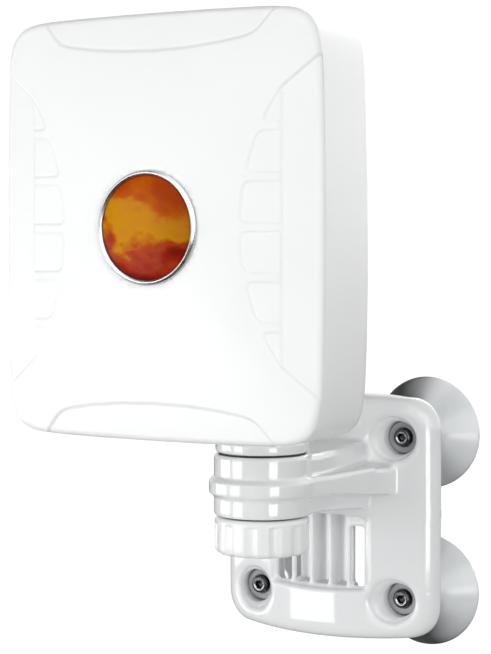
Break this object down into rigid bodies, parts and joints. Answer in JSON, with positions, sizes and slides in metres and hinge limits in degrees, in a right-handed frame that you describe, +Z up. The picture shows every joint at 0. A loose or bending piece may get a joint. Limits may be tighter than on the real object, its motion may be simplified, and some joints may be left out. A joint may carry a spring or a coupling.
{
  "type": "flat panel antenna",
  "caption": "Flat panel antenna with a domed rounded-square radome and amber badge, on a clamped swivel at the end of a short bracket arm held to a window by suction cups.",
  "frame": {"origin": "centre of the square of suction cups, in the plane of the window glass they press on", "axes": "+Z up, +Y out of the back of the cups towards the glass, +X to the right seen from the front; the radome faces -Y"},
  "size_m": [0.154, 0.1984, 0.2929],
  "materials": {
    "white_moulding": "glossy white moulded plastic",
    "radome_white": "smooth white radome plastic",
    "cover_white": "lightly textured white plastic",
    "nut_white": "glossy white moulded plastic",
    "cup_vinyl": "soft glossy pale grey vinyl",
    "brass": "turned brass",
    "screw_steel": "bright stainless steel",
    "screw_black": "black oxide steel",
    "washer_black": "black low-friction plastic",
    "seal_rubber": "matt black rubber",
    "vent_black": "matt black plastic",
    "badge_chrome": "polished rim",
    "badge_amber": "marbled amber and red print",
    "badge_clear": "clear domed resin",
    "reflector_aluminium": "plain sheet",
    "board_green": "printed circuit board",
    "gland_grey": "grey moulded nylon"
  },
  "bodies": {
    "bracket": {"wall_bracket": "white_moulding", "friction_ring": "washer_black", "suction_cup_upper_right": "cup_vinyl", "suction_cup_upper_left": "cup_vinyl", "suction_cup_lower_right": "cup_vinyl", "suction_cup_lower_left": "cup_vinyl", "cup_insert_upper_right": "brass", "cup_insert_upper_left": "brass", "cup_insert_lower_right": "brass", "cup_insert_lower_left": "brass", "cap_screw_upper_right": "screw_black", "cap_screw_upper_left": "screw_black", "cap_screw_lower_right": "screw_black", "cap_screw_lower_left": "screw_black", "screw_washer_upper_right": "gland_grey", "screw_washer_upper_left": "gland_grey", "screw_washer_lower_right": "gland_grey", "screw_washer_lower_left": "gland_grey"},
    "antenna_head": {"radome_front": "radome_white", "back_cover": "cover_white", "cover_gasket": "seal_rubber", "badge_bezel": "badge_chrome", "badge_disc": "badge_amber", "badge_dome": "badge_clear", "swivel_foot": "white_moulding", "foot_screw_1": "screw_steel", "foot_screw_2": "screw_steel", "foot_screw_3": "screw_steel", "foot_screw_4": "screw_steel", "cover_screw_1": "screw_steel", "cover_screw_2": "screw_steel", "cover_screw_3": "screw_steel", "cover_screw_4": "screw_steel", "reflector_plate": "reflector_aluminium", "reflector_post_1": "brass", "reflector_post_2": "brass", "reflector_post_3": "brass", "reflector_post_4": "brass", "dipole_board_a": "board_green", "dipole_board_b": "board_green", "feed_block": "brass", "gland_body": "gland_grey", "gland_nut": "gland_grey", "gland_seal": "seal_rubber", "vent_plug": "vent_black"},
    "thrust_washer": {"thrust_washer": "washer_black"},
    "clamp_nut": {"clamp_nut": "nut_white"}
  },
  "joints": [
    {"name": "antenna_pan", "type": "hinge", "parent": "bracket", "child": "antenna_head", "pos_m": [0, -0.0984, 0.0371], "axis": [0, 0, 1], "range_deg": [-60, 60]},
    {"name": "washer_slide", "type": "slide", "parent": "antenna_head", "child": "thrust_washer", "axis": [0, 0, -1], "range_m": [0, 0.003]},
    {"name": "nut_turn", "type": "hinge", "parent": "thrust_washer", "child": "clamp_nut", "pos_m": [0, -0.0984, 0], "axis": [0, 0, -1], "range_deg": [0, 540]}
  ],
  "couplings": [
    {"joint": "washer_slide", "follows": "nut_turn", "m_per_rad": 0.000318}
  ]
}
